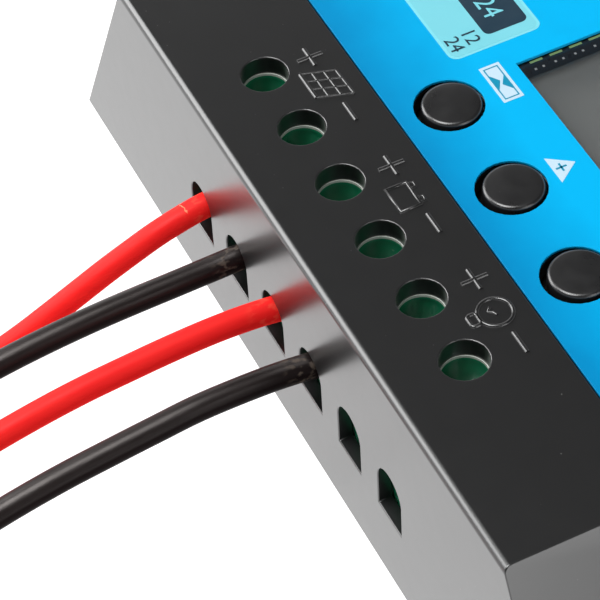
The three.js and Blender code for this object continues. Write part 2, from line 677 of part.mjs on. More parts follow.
const LEAD_STEPS = 26;
const FREE_END_LENGTH = 8;

const routePoint = (pole, [sideways, out, height]) => (
  new THREE.Vector3(poleX(pole) + sideways, FRONT - out, height)
);

function ring(radius, sides) {
  const corners = [];
  for (let index = 0; index < sides; index += 1) {
    const angle = (2 * Math.PI * (index + 0.5)) / sides;
    corners.push(new THREE.Vector2(radius * Math.cos(angle), radius * Math.sin(angle)));
  }
  return new THREE.Shape(corners);
}

function lead(pole) {
  const points = LEAD_ROUTES[pole].map((point) => routePoint(pole, point));
  const extrudePath = new THREE.CatmullRomCurve3(points);
  const options = { extrudePath, steps: LEAD_STEPS, bevelEnabled: false };
  return solid(new THREE.ExtrudeGeometry(ring(LEAD_RADIUS, LEAD_SIDES), options));
}

// The stripped conductor inside the clamp.
function clampedEnd(pole) {
  return rodAlongY(poleX(pole), LEAD_START_Y + GAP, CLAMPED_END_Y, CLAMPED_Z, STRAND_RADIUS);
}

// The stripped conductor at the loose end, in line with the lead's last stretch.
function freeEnd(pole) {
  const route = LEAD_ROUTES[pole];
  const end = routePoint(pole, route[route.length - 1]);
  const before = routePoint(pole, route[route.length - 2]);
  const along = end.clone().sub(before).normalize();
  const middle = end.clone().addScaledVector(along, GAP + FREE_END_LENGTH / 2);
  const geometry = new THREE.CylinderGeometry(STRAND_RADIUS, STRAND_RADIUS, FREE_END_LENGTH, 10);
  const turn = new THREE.Quaternion().setFromUnitVectors(new THREE.Vector3(0, 1, 0), along);
  return solid(geometry.applyQuaternion(turn).translate(middle.x, middle.y, middle.z));
}

// ---------------------------------------------------------------- assembly

addPiece('front_housing', frontHousing(), BLACK_CASE);
addPiece('face_label', faceLabel(), BLUE_PRINT);
addPiece('display_window', displayWindow(), CLEAR);
addPiece('display_panel', displayPanel(), GLASS);
addPiece('display_backlight', displayBacklight(), WHITE_PLASTIC);
addPiece('back_plate', backPlate(), BLACK_CASE);
addPiece('power_board', powerBoard(), BOARD_GREEN);
addPiece('display_board', displayBoard(), BOARD_GREEN);
addPiece('pin_header', pinHeader(), TINNED);
addPiece('heat_sink', heatSink(), ALUMINIUM);
addPiece('capacitor', capacitor(), CAN_BLUE);
addPiece('controller_chip', controllerChip(), CHIP_BLACK);

for (let index = 0; index < 4; index += 1) {
  const x = index % 2 === 0 ? -BOSS.x : BOSS.x;
  const y = index < 2 ? -BOSS.y : BOSS.y;
  addPiece(`case_screw_${index + 1}`, caseScrew(x, y), STEEL);
}

for (let index = 0; index < POLES / BLOCK_POLES; index += 1) {
  addPiece(`terminal_block_${index + 1}`, terminalBlock(index * BLOCK_POLES), BLOCK_GREEN);
}

for (let pole = 0; pole < POLES; pole += 1) {
  addPiece(`terminal_contact_${pole + 1}`, terminalContact(pole), TINNED);
  addPiece(`terminal_screw_${pole + 1}`, terminalScrew(pole), STEEL);
  addPiece(`clamp_cage_${pole + 1}`, clampCage(pole), STEEL);
}

for (let index = 0; index < BUTTONS; index += 1) {
  addPiece(`button_cap_${index + 1}`, buttonCap(index), BLACK_BUTTON);
  addPiece(`tactile_switch_${index + 1}`, tactileSwitch(index), CHIP_BLACK);
}

for (let index = 0; index < MOSFETS; index += 1) {
  addPiece(`mosfet_${index + 1}`, mosfet(index), CHIP_BLACK);
}

USB_YS.forEach((y, index) => addPiece(`usb_socket_${index + 1}`, usbSocket(y), STEEL));

for (let pole = 0; pole < WIRED_POLES; pole += 1) {
  addPiece(`lead_${pole + 1}`, lead(pole), pole % 2 === 0 ? RED_SLEEVE : BLACK_SLEEVE);
  addPiece(`lead_clamped_end_${pole + 1}`, clampedEnd(pole), COPPER);
  addPiece(`lead_free_end_${pole + 1}`, freeEnd(pole), COPPER);
}

export default controller;
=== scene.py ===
"""Looks of a solar charge controller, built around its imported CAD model, in metres.

The case lies flat on a pale floor with its terminal wall towards -Y. Small sizes are written in
millimetres, and the factor MM turns them into metres.
"""

import itertools
import json
import math
import random

import bpy
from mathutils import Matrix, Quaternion, Vector

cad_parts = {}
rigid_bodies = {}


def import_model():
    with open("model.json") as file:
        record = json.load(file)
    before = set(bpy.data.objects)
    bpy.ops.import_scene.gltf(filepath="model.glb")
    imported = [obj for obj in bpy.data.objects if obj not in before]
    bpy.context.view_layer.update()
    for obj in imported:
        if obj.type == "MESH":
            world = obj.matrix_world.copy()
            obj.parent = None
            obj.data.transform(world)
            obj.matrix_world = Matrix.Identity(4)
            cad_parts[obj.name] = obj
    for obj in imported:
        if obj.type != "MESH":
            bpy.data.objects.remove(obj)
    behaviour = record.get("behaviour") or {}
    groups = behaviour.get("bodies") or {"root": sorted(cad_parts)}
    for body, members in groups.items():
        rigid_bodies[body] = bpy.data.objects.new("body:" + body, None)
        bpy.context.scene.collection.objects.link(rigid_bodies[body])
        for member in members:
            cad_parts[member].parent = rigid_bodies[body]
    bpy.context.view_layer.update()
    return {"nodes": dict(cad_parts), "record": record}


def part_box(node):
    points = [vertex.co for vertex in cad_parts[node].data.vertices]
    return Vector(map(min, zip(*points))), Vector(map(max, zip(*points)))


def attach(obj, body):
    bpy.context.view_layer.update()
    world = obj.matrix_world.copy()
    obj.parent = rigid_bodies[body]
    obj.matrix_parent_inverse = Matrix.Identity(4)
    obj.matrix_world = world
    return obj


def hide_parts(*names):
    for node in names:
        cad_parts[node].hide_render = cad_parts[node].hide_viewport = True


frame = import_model()

MM = 0.001
FACE_LOW, FACE_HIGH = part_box("face_label")
CASE_LOW, CASE_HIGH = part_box("front_housing")
FACE_Z = FACE_HIGH.z
FRONT = CASE_LOW.y
POLES = 6
WIRED_POLES = 4
BUTTONS = 3
SOCKETS = 2


def middle(node):
    """The middle of a CAD node's box."""
    low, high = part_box(node)
    return (low + high) / 2


POLE_X = [middle(f"terminal_screw_{pole}").x for pole in range(1, POLES + 1)]
SCREW_Y = middle("terminal_screw_1").y


def on_face(x, y, rise=0.0):
    """A point on the face: x millimetres along X from the first pole, y back from the front wall."""
    return Vector((POLE_X[0] + x * MM, FRONT + y * MM, FACE_Z + rise * MM))


# ---------------------------------------------------------------- camera

CAMERA_PLACE = Vector((0.20289, -0.11613, 0.27368))
CAMERA_AIM = Vector((0.00650, -0.03666, 0.03300))
CAMERA_ROLL = math.radians(-5.16)
CAMERA_LENS = 175.6
SENSOR_WIDTH = 36.0


def make_camera():
    """A long lens that looks down along the terminal wall, rolled a little."""
    data = bpy.data.cameras.new("camera")
    data.lens = CAMERA_LENS
    data.sensor_width = SENSOR_WIDTH
    data.clip_start = 0.01
    data.clip_end = 50.0
    camera = bpy.data.objects.new("camera", data)
    bpy.context.scene.collection.objects.link(camera)
    camera.location = CAMERA_PLACE
    aimed = (CAMERA_AIM - CAMERA_PLACE).to_track_quat("-Z", "Y")
    camera.rotation_mode = "QUATERNION"
    camera.rotation_quaternion = aimed @ Quaternion((0, 0, 1), CAMERA_ROLL)
    bpy.context.scene.camera = camera


make_camera()


# ---------------------------------------------------------------- mesh helpers

def new_piece(name, vertices, faces, smooth=False):
    """A mesh object from its corners and faces."""
    mesh = bpy.data.meshes.new(name)
    mesh.from_pydata([tuple(v) for v in vertices], [], faces)
    mesh.update()
    mesh.polygons.foreach_set("use_smooth", [smooth] * len(mesh.polygons))
    piece = bpy.data.objects.new(name, mesh)
    bpy.context.scene.collection.objects.link(piece)
    return piece


class Shape:
    """Collects the corners and faces of the closed forms that make up one piece."""

    def __init__(self):
        self.vertices = []
        self.faces = []
        self.looks = []

    def add(self, vertices, faces, look=0):
        """Adds a form, whose faces take the piece's material with the number look."""
        first = len(self.vertices)
        self.vertices += [Vector(v) for v in vertices]
        self.faces += [[first + index for index in face] for face in faces]
        self.looks += [look] * len(faces)

    def piece(self, name, smooth=False):
        """One mesh object of all the forms."""
        made = new_piece(name, self.vertices, self.faces, smooth)
        made.data.polygons.foreach_set("material_index", self.looks)
        return made


def box_form(low, high):
    """Corners and faces of a box between two corners."""
    corners = list(itertools.product(*zip(low, high)))
    faces = [(0, 1, 3, 2), (4, 6, 7, 5), (0, 4, 5, 1), (2, 3, 7, 6), (0, 2, 6, 4), (1, 5, 7, 3)]
    return corners, faces


def ring(radius, height, centre, sides):
    """Points around a level circle."""
    points = []
    for side in range(sides):
        angle = 2 * math.pi * side / sides
        x = centre[0] + radius * math.cos(angle)
        y = centre[1] + radius * math.sin(angle)
        points.append((x, y, height))
    return points


def band(lower, upper, sides):
    """The faces between two rings of corners, each given by the number of its first corner."""
    faces = []
    for side in range(sides):
        following = (side + 1) % sides
        faces.append((lower + side, lower + following, upper + following, upper + side))
    return faces


def turned_form(outline, centre, sides=64):
    """Corners and faces of an upright turned form.

    The outline is (radius, height) pairs that start and end on the axis.
    """
    vertices = [(centre[0], centre[1], outline[0][1])]
    for radius, height in outline[1:-1]:
        vertices += ring(radius, height, centre, sides)
    last = len(vertices)
    vertices.append((centre[0], centre[1], outline[-1][1]))
    faces = []
    for side in range(sides):
        following = (side + 1) % sides
        faces.append((0, 1 + following, 1 + side))
        faces.append((last, last - sides + side, last - sides + following))
    for lower in range(1, last - sides, sides):
        faces += band(lower, lower + sides, sides)
    return vertices, faces


def ring_form(outline, centre, sides=48):
    """Corners and faces of an upright ring. The outline is a closed loop of (radius, height) pairs."""
    vertices = []
    faces = []
    for row, (radius, height) in enumerate(outline):
        vertices += ring(radius, height, centre, sides)
        faces += band(row * sides, (row + 1) % len(outline) * sides, sides)
    return vertices, faces


def smooth_path(points, steps=6):
    """Points along a centripetal Catmull-Rom curve through the given points."""
    padded = [2 * points[0] - points[1], *points, 2 * points[-1] - points[-2]]
    path = []
    for first in range(len(points) - 1):
        four = padded[first:first + 4]
        knots = [0.0]
        for a, b in zip(four, four[1:]):
            knots.append(knots[-1] + math.sqrt((b - a).length))
        for step in range(steps):
            path.append(catmull_point(four, knots, knots[1] + (knots[2] - knots[1]) * step / steps))
    path.append(points[-1])
    return path


def catmull_point(four, knots, t):
    """The Barry and Goldman point at t between the two middle points of four."""
    def between(a, b, start, end):
        return a + (b - a) * ((t - start) / (end - start))

    first = [between(four[i], four[i + 1], knots[i], knots[i + 1]) for i in range(3)]
    second = [between(first[i], first[i + 1], knots[i], knots[i + 2]) for i in range(2)]
    return between(second[0], second[1], knots[1], knots[2])


def tube_form(path, radius, sides):
    """Corners and faces of a closed round tube along a path."""
    steps = [(b - a).normalized() for a, b in zip(path, path[1:])]
    tangents = [steps[0]] + [(a + b).normalized() for a, b in zip(steps, steps[1:])] + [steps[-1]]
    side = tangents[0].orthogonal().normalized()
    vertices = []
    for point, tangent in zip(path, tangents):
        side = (side - tangent * side.dot(tangent)).normalized()
        across = tangent.cross(side)
        for index in range(sides):
            angle = 2 * math.pi * index / sides
            vertices.append(point + (side * math.cos(angle) + across * math.sin(angle)) * radius)
    last = (len(path) - 1) * sides
    faces = [list(range(sides - 1, -1, -1))]
    for lower in range(0, last, sides):
        faces += band(lower, lower + sides, sides)
    faces.append([last + index for index in range(sides)])
    return vertices, faces


# ---------------------------------------------------------------- leads

LEAD_DIAMETER = 3.2 * MM
SLEEVE_SIDES = 28
FREE_END_LENGTH = 8 * MM
CLAMPED_END_BACK = SCREW_Y + 3.4 * MM
CLAMPED_Z = 15.6 * MM
END_OVERLAP = 0.2 * MM  # how far a bare end starts inside its sleeve
FREE_END_SEED = 10
CLAMPED_END_SEED = 20

BUNDLE_RADIUS = 1.05 * MM
STRAND_RADIUS = BUNDLE_RADIUS / 5
STRAND_RINGS = ((1, 0), (6, 2), (12, 4))  # how many strands, and the ring's radius in strand radii
STRAND_TWIST = 0.55 / 3  # radians for each millimetre
STRAND_UNEVENNESS = 0.5  # millimetres between the longest and the shortest strand
STRAND_SPREAD = 0.16  # the largest share by which a strand stands out at the cut end
STRAND_STEPS = 14
STRAND_SIDES = 8

# The routes of the four leads, as in the CAD model, in millimetres:
# [sideways from the pole, distance out from the front wall, height].
LEAD_ROUTES = (
    (
        (0, -4.6, 15.6), (0, -2.5, 15.5), (0, 0, 15.2), (0, 3, 14.5), (0, 6, 13.6), (0, 9.5, 12.2),
        (0, 13, 10.7), (0, 17, 8.8), (0, 21, 6.9), (0, 25, 5.1), (-0.1, 29.5, 3.4), (-0.3, 35, 2.2),
        (-0.6, 42, 1.8), (-1.2, 52, 1.8), (-2, 64, 1.8), (-3, 76, 1.8), (-3.8, 88, 1.8),
        (-4.2, 100, 1.8), (-4.1, 112, 1.8), (-3.6, 124, 1.8), (-2.8, 136, 1.8), (-1.8, 147, 1.8),
    ),
    (
        (0, -4.6, 15.6), (0, -2.5, 15.6), (0, 0, 15.6), (0, 4, 15.5), (0, 8, 15.4), (0, 13, 15.3),
        (0, 18, 15.1), (0, 24, 14.6), (0, 30, 13.8), (0, 37, 12.4), (0, 45, 10.3), (0.1, 53, 7.9),
        (0.2, 61, 5.5), (0.3, 69, 3.4), (0.3, 78, 2.1), (0.2, 88, 1.8), (-0.1, 99, 1.8),
        (-0.6, 110, 1.8), (-1.2, 122, 1.8), (-1.7, 134, 1.8), (-2, 145, 1.8),
    ),
    (
        (0, -4.6, 15.6), (0, -2.5, 15.9), (0, 0, 16.4), (0, 4, 16.8), (0, 8, 16.9), (0, 13, 16.7),
        (0, 18, 16.3), (0, 24, 15.7), (0, 30, 14.7), (0, 37, 13.1), (0.1, 45, 10.9), (0.2, 53, 8.5),
        (0.4, 61, 6.1), (0.7, 69, 3.9), (1.1, 78, 2.3), (1.5, 88, 1.8), (1.9, 99, 1.8),
        (2.2, 110, 1.8), (2.3, 122, 1.8), (2.1, 134, 1.8), (1.7, 145, 1.8),
    ),
    (
        (0, -4.6, 15.6), (0, -2.5, 16), (0, 0, 16.6), (0, 4, 17.1), (0, 9, 17.3), (0, 14, 17.2),
        (0, 19, 16.6), (0, 25, 15.8), (0, 31, 14.9), (0.1, 38, 13.5), (0.3, 46, 11.4), (0.7, 54, 9),
        (1.2, 62, 6.5), (1.8, 70, 4.2), (2.5, 79, 2.4), (3.2, 89, 1.8), (3.9, 100, 1.8),
        (4.6, 111, 1.8), (5.2, 122, 1.8), (5.6, 134, 1.8), (5.8, 145, 1.8),
    ),
)


def lead_slot(number):
    """The leads are red and black in turn."""
    return "sleeve_red" if number % 2 else "sleeve_black"


def stranded_end(name, start, end, seed):
    """A bundle of nineteen twisted strands, a little open and uneven at its cut end."""
    draw = random.Random(seed)
    along = (end - start).normalized()
    side = along.orthogonal().normalized()
    across = along.cross(side)
    shape = Shape()
    for count, ring_size in STRAND_RINGS:
        for strand in range(count):
            length = (end - start).length - draw.uniform(0, STRAND_UNEVENNESS) * MM
            opening = draw.uniform(0, STRAND_SPREAD)
            path = []
            for step in range(STRAND_STEPS + 1):
                share = step / STRAND_STEPS
                angle = 2 * math.pi * strand / count + STRAND_TWIST * length / MM * share
                radius = ring_size * STRAND_RADIUS * (1 + opening * share ** 3)
                offset = side * math.cos(angle) + across * math.sin(angle)
                path.append(start + along * length * share + offset * radius)
            shape.add(*tube_form(path, STRAND_RADIUS, STRAND_SIDES))
    return shape.piece(name, smooth=True)


def make_lead(pole):
    """One insulated lead with its two stripped ends."""
    number = pole + 1
    route = [Vector((POLE_X[pole] + sideways * MM, FRONT - out * MM, height * MM))
             for sideways, out, height in LEAD_ROUTES[pole]]
    path = smooth_path(route)
    shape = Shape()
    shape.add(*tube_form(path, LEAD_DIAMETER / 2, SLEEVE_SIDES))
    tube = shape.piece(f"lead_sleeve_{number}", smooth=True)
    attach(tube, "case")
    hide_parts(f"lead_{number}")

    along = (path[-1] - path[-2]).normalized()
    free = stranded_end(f"copper_free_end_{number}", path[-1] - along * END_OVERLAP,
                        path[-1] + along * FREE_END_LENGTH, FREE_END_SEED + pole)
    inside = Vector((POLE_X[pole], path[0].y, CLAMPED_Z))
    clamped = stranded_end(f"copper_clamped_end_{number}", inside - Vector((0, END_OVERLAP, 0)),
                           Vector((inside.x, CLAMPED_END_BACK, CLAMPED_Z)), CLAMPED_END_SEED + pole)
    for piece, node in ((free, f"lead_free_end_{number}"), (clamped, f"lead_clamped_end_{number}")):
        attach(piece, "case")
        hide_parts(node)


for pole in range(WIRED_POLES):
    make_lead(pole)


# ---------------------------------------------------------------- material helpers

def new_material(name):
    """A material, its node tree and its main shader."""
    made = bpy.data.materials.new(name)
    made.use_nodes = True
    return made, made.node_tree, made.node_tree.nodes["Principled BSDF"]


def fill(tree, node, inputs):
    """Sets a node's inputs to plain values, or links them to sockets."""
    for key, value in inputs.items():
        if isinstance(value, bpy.types.NodeSocket):
            tree.links.new(value, node.inputs[key])
        else:
            node.inputs[key].default_value = value


def add_node(tree, kind, inputs, **settings):
    """A node of one kind, with its inputs filled and its settings made."""
    made = tree.nodes.new(kind)
    for key, value in settings.items():
        setattr(made, key, value)
    fill(tree, made, inputs)
    return made


def place_in(tree):
    """The place of a surface point, in metres."""
    return add_node(tree, "ShaderNodeTexCoord", {}).outputs["Object"]


def part_of(tree, vector, axis):
    """A vector's part along an axis, which is X, Y or Z."""
    return add_node(tree, "ShaderNodeSeparateXYZ", {"Vector": vector}).outputs[axis]


def noise(tree, size, detail=2.0, stretch=(1, 1, 1)):
    """A noise pattern whose blots are about size millimetres across.

    A stretch below 1 draws them out along that axis.
    """
    scaled = add_node(tree, "ShaderNodeMapping", {"Vector": place_in(tree), "Scale": stretch})
    made = add_node(tree, "ShaderNodeTexNoise", {
        "Vector": scaled.outputs["Vector"], "Scale": 1 / (size * MM), "Detail": detail,
    })
    return made.outputs["Fac"]


def ranged(tree, value, low, high, out_low, out_high):
    """Turns a value between low and high into one between out_low and out_high, and holds it there."""
    made = add_node(tree, "ShaderNodeMapRange", {
        "Value": value, "From Min": low, "From Max": high, "To Min": out_low, "To Max": out_high,
    })
    return made.outputs["Result"]


def uneven(tree, pattern, value, share):
    """A value that wanders up and down by a share of itself, as a noise pattern does."""
    return ranged(tree, pattern, 0.3, 0.7, value * (1 - share), value * (1 + share))


def mixed(tree, factor, first, second):
    """A colour between first and second. A mix node has its colours at inputs 6 and 7 and output 2."""
    inputs = {0: factor, 6: first, 7: second}
    return add_node(tree, "ShaderNodeMix", inputs, data_type="RGBA").outputs[2]


def joined(tree, operation, first, second=0.0):
    """The result of a Math node's operation on one or two values."""
    return add_node(tree, "ShaderNodeMath", {0: first, 1: second}, operation=operation).outputs[0]


def shade(color, factor=1.0):
    """A colour made darker or lighter, as the four numbers that a socket takes."""
    return tuple(min(1.0, channel * factor) for channel in color) + (1,)


def bump(tree, shader, height, depth):
    """Roughens the surface by a height pattern, depth millimetres from low to high."""
    made = add_node(tree, "ShaderNodeBump", {"Height": height, "Distance": depth * MM})
    fill(tree, shader, {"Normal": made.outputs["Normal"]})


def specks(tree, spacing, size):
    """Sparse round specks, 1 inside a speck, from the distance to scattered points."""
    cells = add_node(tree, "ShaderNodeTexVoronoi", {
        "Vector": place_in(tree), "Scale": 1 / (spacing * MM),
    })
    radius = size / spacing
    return ranged(tree, cells.outputs["Distance"], radius * 0.6, radius, 1.0, 0.0)


# ---------------------------------------------------------------- floor and light

HORIZON_RADIANCE = 0.85
ZENITH_RADIANCE = 0.04
HORIZON_TOP = 0.10
ZENITH_START = 0.45
FLOOR_HALF = 6.0
FLOOR_GREY = (0.2, 0.2, 0.2, 1)
FLOOR_GLOW = 1.08
WHITE = (1, 1, 1, 1)

# Each lamp's name, place, aim, width, height and the radiance of its face.
LAMPS = (
    ("side_softbox", (-2.0, -1.55, 1.35), (0.0, -0.1, 0.03), 2.0, 1.9, 6.0),
    ("end_softbox", (2.2, 0.55, 0.20), (0.05, 0.0, 0.02), 1.4, 0.6, 2.7),
    ("back_softbox", (1.9, 0.60, 1.25), (0.0, 0.0, 0.02), 0.9, 1.0, 2.8),
    ("overhead_softbox", (-0.35, -0.5, 2.3), (0.0, 0.0, 0.0), 1.2, 1.2, 4.5),
    ("front_softbox", (-0.1, -0.9, 2.2), (0.0, 0.0, 0.0), 1.2, 1.2, 8.1),
    ("low_softbox", (-2.1, 0.6, 0.9), (0.0, 0.0, 0.0), 1.0, 1.0, 1.1),
)


def make_world():
    """A studio that is bright near the horizon and dim overhead."""
    world = bpy.data.worlds.new("studio")
    world.use_nodes = True
    tree = world.node_tree
    direction = add_node(tree, "ShaderNodeTexCoord", {}).outputs["Generated"]
    radiance = add_node(tree, "ShaderNodeMapRange", {
        "Value": part_of(tree, direction, "Z"), "From Min": HORIZON_TOP, "From Max": ZENITH_START,
        "To Min": HORIZON_RADIANCE, "To Max": ZENITH_RADIANCE,
    }, interpolation_type="SMOOTHSTEP")
    fill(tree, tree.nodes["Background"], {"Color": WHITE, "Strength": radiance.outputs["Result"]})
    bpy.context.scene.world = world


def make_floor():
    """A plain white sweep under the object, lit a little from within so that it stays even."""
    corners = [(-FLOOR_HALF, -FLOOR_HALF, 0), (FLOOR_HALF, -FLOOR_HALF, 0),
               (FLOOR_HALF, FLOOR_HALF, 0), (-FLOOR_HALF, FLOOR_HALF, 0)]
    floor = new_piece("floor", corners, [(0, 1, 2, 3)])
    paper, tree, shader = new_material("paper")
    fill(tree, shader, {
        "Base Color": FLOOR_GREY, "Roughness": 0.9, "Specular IOR Level": 0.0,
        "Emission Color": WHITE, "Emission Strength": FLOOR_GLOW,
    })
    floor.data.materials.append(paper)


def make_lamp(name, place, aim, width, height, radiance):
    """A soft rectangular lamp, given by the brightness of its face."""
    data = bpy.data.lights.new(name, "AREA")
    data.shape = "RECTANGLE"
    data.size = width
    data.size_y = height
    data.energy = math.pi * width * height * radiance
    lamp = bpy.data.objects.new(name, data)
    lamp.location = place
    lamp.rotation_mode = "QUATERNION"
    lamp.rotation_quaternion = (Vector(aim) - Vector(place)).to_track_quat("-Z", "Y")
    lamp.visible_camera = False
    bpy.context.scene.collection.objects.link(lamp)


make_world()
make_floor()
for lamp in LAMPS:
    make_lamp(*lamp)

bpy.context.scene.view_settings.view_transform = "Standard"
bpy.context.scene.view_settings.look = "None"


# ---------------------------------------------------------------- materials

DUST_GREY = (0.35, 0.35, 0.34, 1)
DUST_SPACING = 1.6
DUST_SIZE = 0.09
COAT_ROUGHNESS = 0.26


def moulded(name, color, roughness, grain=0.15, grain_depth=0.004, mottle=0.1, dust=0.0,
            specular=0.5, polish=0.0, gloss_share=0.12):
    """Moulded plastic: fine grain, uneven colour and gloss, and dust and polish where asked for."""
    made, tree, shader = new_material(name)
    tint = mixed(tree, noise(tree, 7.0), shade(color, 1 - mottle), shade(color, 1 + mottle))
    if dust:
        patches = ranged(tree, noise(tree, 5.0), 0.45, 0.6, 0.0, dust)
        thin = joined(tree, "MULTIPLY", specks(tree, DUST_SPACING, DUST_SIZE), patches)
        tint = mixed(tree, thin, tint, DUST_GREY)
    fill(tree, shader, {
        "Base Color": tint, "Roughness": uneven(tree, noise(tree, 2.5), roughness, gloss_share),
        "Specular IOR Level": specular, "Coat Weight": polish, "Coat Roughness": COAT_ROUGHNESS,
    })
    bump(tree, shader, noise(tree, grain), grain_depth)
    return made


def painted_glow(look, color, strength):
    """Makes a look glow faintly, a painted light that keeps it readable in the deep shade under the
    edge of the display's frame.
    """
    shader = look.node_tree.nodes["Principled BSDF"]
    fill(look.node_tree, shader, {"Emission Color": (*color, 1), "Emission Strength": strength})
    return look


def metal(name, color, roughness, stretch=(1, 1, 1), grain=0.25):
    """Plated or drawn metal with fine tool marks along one direction."""
    made, tree, shader = new_material(name)
    marks = noise(tree, grain, 3.0, stretch)
    fill(tree, shader, {
        "Base Color": mixed(tree, noise(tree, 2.0), shade(color, 0.82), shade(color, 1.08)),
        "Metallic": 1.0, "Roughness": uneven(tree, marks, roughness, 0.25),
    })
    bump(tree, shader, marks, 0.004)
    return made


# A painted shade: the label is drawn a darker blue at its front edge and lightens to its own blue
# further back.
LABEL_SHADED_BLUE = (0.0, 0.20, 0.43, 1)
LABEL_BLUE = (0.0, 0.36, 0.68, 1)
LABEL_SHADE_REACH = 12 * MM


def label_blue():
    """Printed film: a clear blue, with a painted shade that darkens it towards the terminals."""
    made, tree, shader = new_material("label_blue")
    # The painted shade fades out from the label's front edge backwards.
    back = part_of(tree, place_in(tree), "Y")
    depth = ranged(tree, back, FACE_LOW.y, FACE_LOW.y + LABEL_SHADE_REACH, 0.0, 1.0)
    share = joined(tree, "ADD", depth, ranged(tree, noise(tree, 6.0), 0.3, 0.7, -0.08, 0.08))
    fill(tree, shader, {
        "Base Color": mixed(tree, share, LABEL_SHADED_BLUE, LABEL_BLUE),
        "Roughness": 0.36, "Specular IOR Level": 0.12,
    })
    bump(tree, shader, noise(tree, 0.3), 0.0015)
    return made


MASK_GREEN = (0.006, 0.075, 0.028, 1)
TRACK_GREEN = (0.012, 0.16, 0.05, 1)
BARE_PAD = (0.55, 0.5, 0.42, 1)
TRACK_SPACING = 3.5
PAD_SPACING = 3.2
PAD_RADIUS = 0.5


def board_green():
    """Solder mask over faint tracks, with bare pads here and there."""
    made, tree, shader = new_material("board_green")
    tracks = add_node(tree, "ShaderNodeTexVoronoi", {
        "Vector": place_in(tree), "Scale": 1 / (TRACK_SPACING * MM),
    }, feature="DISTANCE_TO_EDGE")
    line = ranged(tree, tracks.outputs["Distance"], 0.04, 0.08, 1.0, 0.0)
    tint = mixed(tree, line, MASK_GREEN, TRACK_GREEN)
    tint = mixed(tree, specks(tree, PAD_SPACING, PAD_RADIUS), tint, BARE_PAD)
    fill(tree, shader, {"Base Color": tint, "Roughness": 0.32})
    bump(tree, shader, line, 0.03)
    return made


NICK_OUT = 1.9  # millimetres from the front wall
NICK_SHIFT = -0.3  # millimetres along X from the first pole


def nick(tree, place):
    """1 inside the thin wavering cut across the first lead, a little way out from the front wall."""
    waver = ranged(tree, noise(tree, 1.2), 0.3, 0.7, -0.35 * MM, 0.35 * MM)
    along = joined(tree, "ADD", part_of(tree, place, "Y"), waver)
    off_cut = joined(tree, "ABSOLUTE", joined(tree, "SUBTRACT", along, FRONT - NICK_OUT * MM))
    across = joined(tree, "SUBTRACT", part_of(tree, place, "X"), POLE_X[0] + NICK_SHIFT * MM)
    thin = ranged(tree, off_cut, 0.05 * MM, 0.12 * MM, 1.0, 0.0)
    short = ranged(tree, joined(tree, "ABSOLUTE", across), 1.0 * MM, 1.3 * MM, 0.8, 0.0)
    return joined(tree, "MULTIPLY", thin, short)


# The share of a lead's reflection that is left on its underside: a painted shade.
UNDERSIDE_SHADED_SHINE = 0.05
WARM_SHINE = (1.0, 0.93, 0.90, 1)
# How far out from the front wall the scuffs start and are at their strongest, in millimetres.
SCUFF_START = 3.6
SCUFF_FULL = 1.6


def scuffs(tree, place, amount):
    """How worn a lead is: blots near its entry, and the cut across the first lead."""
    along = part_of(tree, place, "Y")
    near_wall = ranged(tree, along, FRONT - SCUFF_START * MM, FRONT - SCUFF_FULL * MM, 0.0, 1.0)
    blots = ranged(tree, noise(tree, 0.7, 4.0, (1.0, 0.6, 1.0)), 0.50, 0.62, 0.0, 1.0)
    worn = joined(tree, "MULTIPLY", joined(tree, "MULTIPLY", near_wall, blots), amount)
    return joined(tree, "MAXIMUM", worn, nick(tree, place))


def sleeve(name, color, light, scuff, scuff_amount, roughness, specular):
    """Soft insulation with drawn-out streaks, scuffed where it enters the case, with a painted shade
    below: its reflection fades out on the underside.
    """
    made, tree, shader = new_material(name)
    streaks = noise(tree, 0.9, 3.0, (1.0, 0.12, 1.0))
    worn = scuffs(tree, place_in(tree), scuff_amount)
    clean = mixed(tree, streaks, shade(color), shade(light))
    clean_gloss = uneven(tree, streaks, roughness, 0.15)
    # Painted shade: the reflection is turned down where a face points away from straight up.
    normal = add_node(tree, "ShaderNodeNewGeometry", {}).outputs["Normal"]
    painted_shade_shine = ranged(tree, part_of(tree, normal, "Z"), 0.3, 0.97, specular * UNDERSIDE_SHADED_SHINE, specular)
    fill(tree, shader, {
        "Base Color": mixed(tree, worn, clean, shade(scuff)),
        "Roughness": joined(tree, "ADD", clean_gloss, joined(tree, "MULTIPLY", worn, 0.3)),
        "Specular IOR Level": painted_shade_shine, "Specular Tint": WARM_SHINE,
    })
    grain = noise(tree, 0.35, 2.0, (1.0, 0.3, 1.0))
    bump(tree, shader, joined(tree, "ADD", grain, joined(tree, "MULTIPLY", worn, 1.5)), 0.014)
    return made


def clear_window():
    """Clear plastic: it lets the display through, and mirrors more the flatter it is looked at."""
    made, tree, shader = new_material("window_clear")
    tree.nodes.remove(shader)
    through = add_node(tree, "ShaderNodeBsdfTransparent", {"Color": (0.90, 0.91, 0.91, 1)})
    mirror = add_node(tree, "ShaderNodeBsdfGlossy", {"Color": WHITE, "Roughness": 0.06})
    facing = add_node(tree, "ShaderNodeLayerWeight", {"Blend": 0.5}).outputs["Facing"]
    share = ranged(tree, joined(tree, "POWER", facing, 5.0), 0.0, 1.0, 0.04, 1.0)
    both = add_node(tree, "ShaderNodeMixShader", {
        0: share, 1: through.outputs["BSDF"], 2: mirror.outputs["BSDF"],
    })
    fill(tree, tree.nodes["Material Output"], {"Surface": both.outputs[0]})
    return made


def panel_grey():
    """The switched-off liquid crystal: grey, with a barely uneven backing."""
    made, tree, shader = new_material("panel_grey")
    tint = mixed(tree, noise(tree, 9.0), (0.19, 0.192, 0.19, 1), (0.205, 0.207, 0.205, 1))
    fill(tree, shader, {"Base Color": tint, "Roughness": 0.3})
    bump(tree, shader, noise(tree, 0.3), 0.002)
    return made


